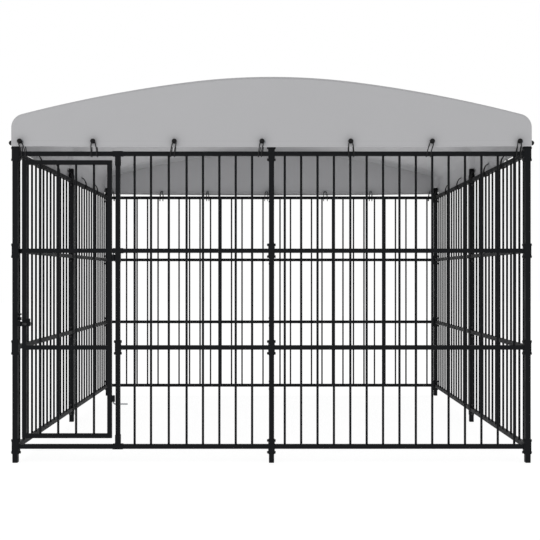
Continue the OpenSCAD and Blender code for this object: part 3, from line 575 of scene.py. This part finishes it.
# flat end: column at l hangs from the sheet's folded edge straight down to the hem, bulging between the ties
def makeRoofEnd(name, nodeName, side, s, o, skirt):
    sign = -1.0 if side == "front" else 1.0
    even = np.linspace(-archEave, archEave, s["columns"])
    atTies = np.interp(nearTies(ties[side], skirt), onArch(even, 0.0)[0], even)
    l = gridLines([even, nearEaves(s["byEave"], o), atTies], o)
    x, top = onArch(l, np.full_like(l, o["fold"]))
    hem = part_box(nodeName)[0].z + endRise(x, side, skirt, o)
    tall = top - hem
    band = np.concatenate([np.linspace(*rows) for rows in s["hemRows"]])
    rest = band[-1] + (tall - band[-1]) * np.linspace(0.0, 1.0, s["rows"])[1:, None]
    up = np.concatenate([np.broadcast_to(band[:, None], (len(band), len(x))), rest])
    z = hem + up
    wideX = np.broadcast_to(x, z.shape)
    out = hangOut(wideX, up, tall, ties[side], skirt)
    out = out * np.clip((o["half"] - o["fold"] - np.abs(x)) / skirt["corner"][1], 0.0, 1.0)
    quads = gridFaces(*z.shape)
    if side == "rear":
        quads = quads[:, ::-1]
    mat = makeCloth("coated_polyester_" + side, clothSet, clothSet["hemLines"], (s["seam"],), 0)
    points = np.stack([wideX, sign * (o["endY"] + out), z], axis=-1)
    # painted shade round this end's ties
    attributes = {"seam": tall - up, "paintedShade": shadeHaloAt(wideX, z, side, skirt)}
    piece = makeClothPiece(name, points, quads, mat, (wideX, up), attributes, o["thick"], -1.0)
    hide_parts(nodeName)
    return piece


frontEnd = makeRoofEnd("roofFrontEnd", "roof_front_end", "front", endSet, outline, skirtSet)
rearEnd = makeRoofEnd("roofRearEnd", "roof_rear_end", "rear", endSet, outline, skirtSet)
print("roof ends:", len(frontEnd.data.polygons), len(rearEnd.data.polygons), "faces")


# bow pocket: its depth eases by a cosine from the bow's underside to a seam, and stays level to an edge
# that is sewn to a roof end; the section is carried along the outline and follows the sheet's dip
def makePocket(name, bowY, s, o):
    lowest = archEnd + o["hem"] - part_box("post_caps")[1].z - s["clear"]
    l = np.unique(np.concatenate([np.linspace(-1.0, 1.0, s["along"]) * lowest, nearEaves(s["byEave"], o)]))
    l = l[:, None]
    arched, atLeg = s["axis"]
    axis = arched + (atLeg - arched) * smoothStep((np.abs(l) - (archEave - s["bend"])) / s["bend"])
    share = np.linspace(-1.0, 1.0, 2 * s["around"] + 1)
    wide = seamAt(l, s)
    ends = [s["byEnd"] if bowY * sign > 0 else wide for sign in (-1.0, 1.0)]
    dy = np.where(share < 0, ends[0], ends[1]) * share
    eased = np.where(bowY * share > 0, 1.0, (1 + np.cos(math.pi * share)) / 2)
    depth = (axis + s["loose"] - s["under"]) * eased + s["under"] + sagAt(l, bowY + dy, o)
    x, z = onArch(np.broadcast_to(l, depth.shape), depth)
    steps = np.hypot(np.diff(dy, axis=1), np.diff(depth, axis=1))
    width = np.concatenate([np.zeros((len(l), 1)), np.cumsum(steps, axis=1)], axis=1)
    # painted shade: an end pocket darkens from its seam, standing in for the shade of a doubled layer that
    # lets less light through
    paintedShade = np.clip((wide - np.abs(dy)) / s["fade"], 0.0, 1.0) * s["paintedShade"] * (bowY != 0.0)
    piece = makeClothPiece(name, np.stack([x, bowY + dy, z], axis=-1), gridFaces(*x.shape), pocketCloth,
                           (np.broadcast_to(l, x.shape), width), {"paintedShade": paintedShade}, s["thick"], 0.0)
    return piece


pocketCloth = makeCloth("coated_polyester_pocket", clothSet, (), (), 0)
pockets = [makePocket(side + "BowPocket", y, pocketSet, outline)
           for side, y in zip(("front", "middle", "rear"), outline["bows"])]
print("bow pockets:", [len(p.data.polygons) for p in pockets], "faces")


# local bungee axes (out from the cloth, along the hem, up) to the run's axes
def toSide(side, place, local):
    out, along, up = local[..., 0] + outline["endY"], local[..., 1] + place, local[..., 2] + tieUp[side]
    if side in ("front", "left"):
        out = -out
    return np.stack([along, out, up] if side in ("front", "rear") else [out, along, up], axis=-1)


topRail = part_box("door_bay_top_rail")
bungeeSet = {
    "cord": 0.0056,
    "tip": 0.05,             # share of the thickness at a cord's ends, inside the ball
    "behind": -0.0362,       # behind the rail, from the cloth's outer face
    "rail": float(topRail[0].z + topRail[1].z) / 2,
    "railHalf": 0.0154,      # from the rail's middle to the cord's middle, above and below it
    "sides": 10,             # corners of the cord's section
    "rounds": 3,             # how often a path's corners are cut
    # each loop's foot: its shift along the rail, and half the distance between its strands there
    "feet": {
        "front": ((0.0095, 0.0108), (0.003, 0.0165), (-0.014, 0.0112), (-0.023, 0.0088), (0.005, 0.0150),
                  (-0.0216, 0.0118), (-0.014, 0.0115)),
        "rear": ((0.004, 0.0140), (-0.003, 0.0135), (0.004, 0.0100), (-0.004, 0.0135), (0.003, 0.0165),
                 (-0.002, 0.0120), (-0.006, 0.0160)),
        "left": ((0.006, 0.0140), (-0.003, 0.0130), (0.002, 0.0145), (0.004, 0.0120), (0.0, 0.0140),
                 (-0.003, 0.0130), (-0.007, 0.0140)),
        "right": ((0.005, 0.0140), (0.003, 0.0130), (-0.002, 0.0140), (0.003, 0.0135), (0.002, 0.0115),
                  (0.001, 0.0140), (-0.006, 0.0135)),
    },
    "hang": {"front": 0.0, "rear": 0.012, "left": 0.0, "right": 0.0},  # slack of the loops under the rail
    "ball": 0.029,
    "ballOut": 0.0158,       # the ball's centre, out from the cloth
    # how far a ball has rolled along the hem from its grommet
    "ballRoll": {"front": (-0.009, 0.0, 0.0, -0.010, 0.0, -0.005, -0.010), "rear": (0.0,) * 7,
                 "left": (0.0,) * 7, "right": (0.0,) * 7},
}


# one elastic loop: out of the ball, back through the grommet, down to the rail, behind and under it, up in
# front, over the ball's neck, and the same way back; cutting its corners rounds them
def bungeePath(side, lean, w, roll, s):
    back, top = s["behind"], s["rail"] + s["railHalf"] - tieUp[side]
    low = s["rail"] - s["railHalf"] - s["hang"][side] - tieUp[side]
    # out, half the width, up, and the shares of the foot's shift and the ball's roll
    half = np.array([
        [s["ballOut"], 0.0030, 0.0, 0.0, 1.0],
        [0.004, 0.0030, 0.0, 0.0, 0.0],
        [-0.004, 0.0031, -0.0003, 0.0, 0.0],
        [-0.014, 0.6 * w, 0.10 * top, 0.15, 0.0],
        [-0.030, 0.9 * w, 0.5 * top, 0.4, 0.0],
        [back, w, top, 0.65, 0.0],
        [back, w, low + 0.010, 0.9, 0.0],
        [back + 0.001, w, low, 1.0, 0.0],
        [-0.020, w, low, 1.0, 0.0],
        [-0.006, w, low, 1.0, 0.0],
        [-0.0045, w, low + 0.012, 1.0, 0.0],
        [0.0020, 0.95 * w, -0.046, 0.75, 0.2],
        [0.0052, 0.5 * w + 0.0055, -0.022, 0.3, 0.7],
        [0.0046, 0.0100, -0.004, 0.0, 1.0],
        [0.0043, 0.0082, 0.0090, 0.0, 1.0],
    ])
    line = np.concatenate([half, half[::-1] * [1, -1, 1, 1, 1]])
    line = line[:, :3] + (line[:, 3:] @ [lean, roll])[:, None] * [0.0, 1.0, 0.0]
    for _ in range(s["rounds"]):
        cut = np.empty((2 * len(line) - 2, 3))
        cut[0::2] = line[:-1] * 0.75 + line[1:] * 0.25
        cut[1::2] = line[:-1] * 0.25 + line[1:] * 0.75
        line = np.concatenate([line[:1], cut, line[-1:]])
    return line


# a tube round each path: circles in the plane across it, whose first direction is carried along unturned
def tubes(paths, s):
    count, rows, edges = len(paths), paths.shape[1], s["sides"]
    t = np.gradient(paths, axis=1)
    t /= np.linalg.norm(t, axis=2, keepdims=True)
    first = np.cross(t[:, 0], [0.0, 0.0, 1.0])
    across = [first / np.linalg.norm(first, axis=1, keepdims=True)]
    for i in range(1, rows):
        n = across[-1] - t[:, i] * (across[-1] * t[:, i]).sum(1, keepdims=True)
        across.append(n / np.linalg.norm(n, axis=1, keepdims=True))
    n = np.stack(across, axis=1)
    b = np.cross(t, n)
    a = np.linspace(0.0, 2 * math.pi, edges, endpoint=False)
    ring = n[:, :, None] * np.cos(a)[:, None] + b[:, :, None] * np.sin(a)[:, None]
    radius = np.full(rows, s["cord"] / 2)
    radius[[0, -1]] *= s["tip"]
    points = paths[:, :, None] + ring * radius[None, :, None, None]
    quads = np.concatenate([gridFaces(rows, edges, True, k * rows * edges) for k in range(count)])
    steps = np.linalg.norm(np.diff(paths, axis=1), axis=2)
    along = np.concatenate([np.zeros((count, 1)), np.cumsum(steps, axis=1)], axis=1)
    r, c = np.meshgrid(np.arange(rows - 1), np.arange(edges), indexing="ij")
    u = np.stack([along[:, r], along[:, r], along[:, r + 1], along[:, r + 1]], axis=-1)
    v = np.broadcast_to(np.stack([c, c + 1, c + 1, c], axis=-1) / edges, u.shape)
    return points, quads, np.stack([u, v], axis=-1).reshape(-1, 2), along[:, -1]


# a side's loops as one piece: a tube along each loop's path
def makeBungees(side, s):
    paths = np.stack([toSide(side, place, bungeePath(side, lean, w, roll, s))
                      for place, (lean, w), roll in zip(ties[side], s["feet"][side], s["ballRoll"][side])])
    points, quads, uv, length = tubes(paths, s)
    piece = makePiece(side + "BungeeCords", points, quads, elasticBraid, "cord", uv)
    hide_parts(side + "_bungee_cords")
    print(side, "bungee cords:", len(quads), "faces, cord length", np.round(length, 3).tolist())


for cordSide in sides:
    makeBungees(cordSide, bungeeSet)


ballSet = {
    "ridge": (0.00025, 0.06),  # height of the mould halves' parting line, and its width as an angle
    "hole": 0.0062,          # radius of the hole that the cord ends go into
    "bevel": (0.001, 0.0008),  # depth and width of the hole's bevelled edge
    "bottom": (0.006, 0.0012),  # depth of the hole, and how much narrower it is there
    "pole": (0.02, 0.00001),  # angle of the first circle, and radius of the closed ends
    "sides": 24,
    "steps": 18,
}


# moulded ball: a circle turned about the out axis, with a raised parting line, and a blind hole on the cloth
def makeBalls(s, b):
    radius, hole = b["ball"] / 2, s["hole"]
    t = np.linspace(s["pole"][0], math.pi - math.asin(hole / radius), s["steps"])
    swell = radius + s["ridge"][0] * np.exp(-((t - math.pi / 2) / s["ridge"][1]) ** 2)
    out, wide = swell * np.cos(t), swell * np.sin(t)
    edge, bottom, closed = out[-1] + s["bevel"][0], out[-1] + s["bottom"][0], s["pole"][1]
    out = np.concatenate([[radius], out, [edge, bottom, bottom]]) + b["ballOut"]
    wide = np.concatenate([[closed], wide, [hole - s["bevel"][1], hole - s["bottom"][1], closed]])
    a = np.linspace(0.0, 2 * math.pi, s["sides"], endpoint=False)
    local = np.stack([np.broadcast_to(out[:, None], (len(out), s["sides"])),
                      wide[:, None] * np.cos(a), wide[:, None] * np.sin(a)], axis=-1)
    points, quads = [], []
    for side in sides:
        faces = gridFaces(len(out), s["sides"], True)
        faces = faces if side in ("right", "front") else faces[:, ::-1]
        for place in ties[side] + b["ballRoll"][side]:
            quads.append(faces + len(points) * local[..., 0].size)
            points.append(toSide(side, place, local).reshape(-1, 3))
    piece = makePiece("bungeeBalls", np.concatenate(points), np.concatenate(quads), mouldedPlastic)
    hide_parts("bungee_balls")
    return piece


balls = makeBalls(ballSet, bungeeSet)
print("bungee balls:", len(balls.data.polygons), "faces")


# the look of every CAD node that stays as it is; those of elastic and cloth are replaced and don't show
finishes = {
    "black_steel": powderCoat,
    "zinc_steel": zincPlate,
    "black_bolts": blackOxide,
    "black_plastic": mouldedPlastic,
    "black_elastic": elasticBraid,
    "grey_cloth": mouldedPlastic,
}
for part in frame["record"]["subparts"]:
    mesh = nodes[part["node"]].data
    mesh.materials.clear()
    # the grommets are plated bright
    mesh.materials.append(zincPlate if part["node"] == "grommets" else finishes[part["material_slot"]])


# studio: a pale floor, a white surround for the eye and the gloss, and three soft lamps
studioSet = {
    "white": "#ffffff",
    "floor": "#f2f2f2",
    "floorHalf": 30.0,
    "floorZ": -0.0005,
    "floorRoughness": 0.9,
    "glow": 0.57,            # a lit floor, as the even light under the roof asks for
    "lift": 0.78,            # share of the floor that is plain white to the eye
    "fill": 0.58,            # light of the surround on the object
    # name, place, aim, size and power
    "lamps": (
        ("key", (-4.5, -7.0, 6.5), (0.0, 0.0, 1.2), 5.0, 138.0),
        ("side", (6.5, -4.5, 4.0), (0.0, 0.0, 1.2), 4.0, 38.0),
        ("top", (0.0, 1.0, 8.0), (0.0, 0.0, 0.0), 6.0, 120.0),
    ),
}


# 1 for what the eye sees straight, in the gloss or through something, and 0 for light
def seenRays(tree):
    seen = 0.0
    for kind in ("Is Camera Ray", "Is Glossy Ray", "Is Transmission Ray"):
        ray = addNode(tree, "ShaderNodeLightPath", out=kind)
        seen = addNode(tree, "ShaderNodeMath", {0: seen, 1: ray}, operation="MAXIMUM")
    return seen


# surround: white to the eye and the gloss, and a weaker fill as light
def makeSurround(s):
    world = bpy.data.worlds.new("studio")
    bpy.context.scene.world = world
    world.use_nodes = True
    tree = world.node_tree
    strength = addNode(tree, "ShaderNodeMapRange", {0: seenRays(tree), 3: s["fill"], 4: 1.0})
    setInputs(tree, tree.nodes["Background"], {"Strength": strength, "Color": lin(s["white"])})


# floor: pale, and white to the eye where no shadow falls
def makeFloor(s):
    mat, tree, shader = newMaterial("studio_floor")
    setInputs(tree, shader, {
        "Base Color": lin(s["floor"]),
        "Roughness": s["floorRoughness"],
        "Specular IOR Level": 0.0,
        "Emission Color": lin(s["white"]),
        "Emission Strength": s["glow"],
    })
    share = addNode(tree, "ShaderNodeMath", {0: seenRays(tree), 1: s["lift"]}, operation="MULTIPLY")
    white = addNode(tree, "ShaderNodeEmission", {"Color": lin(s["white"]), "Strength": 1.0})
    both = addNode(tree, "ShaderNodeMixShader", {0: share, 1: shader.outputs[0], 2: white})
    setInputs(tree, tree.nodes["Material Output"], {"Surface": both})
    ends = (-s["floorHalf"], s["floorHalf"])
    mesh = bpy.data.meshes.new("floor")
    mesh.from_pydata([(x, y, s["floorZ"]) for y in ends for x in ends], [], [[0, 1, 3, 2]])
    mesh.materials.append(mat)
    floor = bpy.data.objects.new("floor", mesh)
    bpy.context.scene.collection.objects.link(floor)


# a soft lamp, turned so that it shines from its place towards its aim
def makeLamp(name, place, aim, size, power):
    data = bpy.data.lights.new(name, "AREA")
    data.size, data.energy = size, power
    lamp = bpy.data.objects.new(name, data)
    lamp.location = place
    back = np.array(place) - np.array(aim)
    lamp.rotation_euler = (math.acos(back[2] / np.linalg.norm(back)), 0.0,
                           math.atan2(back[1], back[0]) + math.pi / 2)
    bpy.context.scene.collection.objects.link(lamp)


makeSurround(studioSet)
makeFloor(studioSet)
for lampSet in studioSet["lamps"]:
    makeLamp(*lampSet)
bpy.context.scene.view_settings.view_transform = "Standard"
print("studio set")
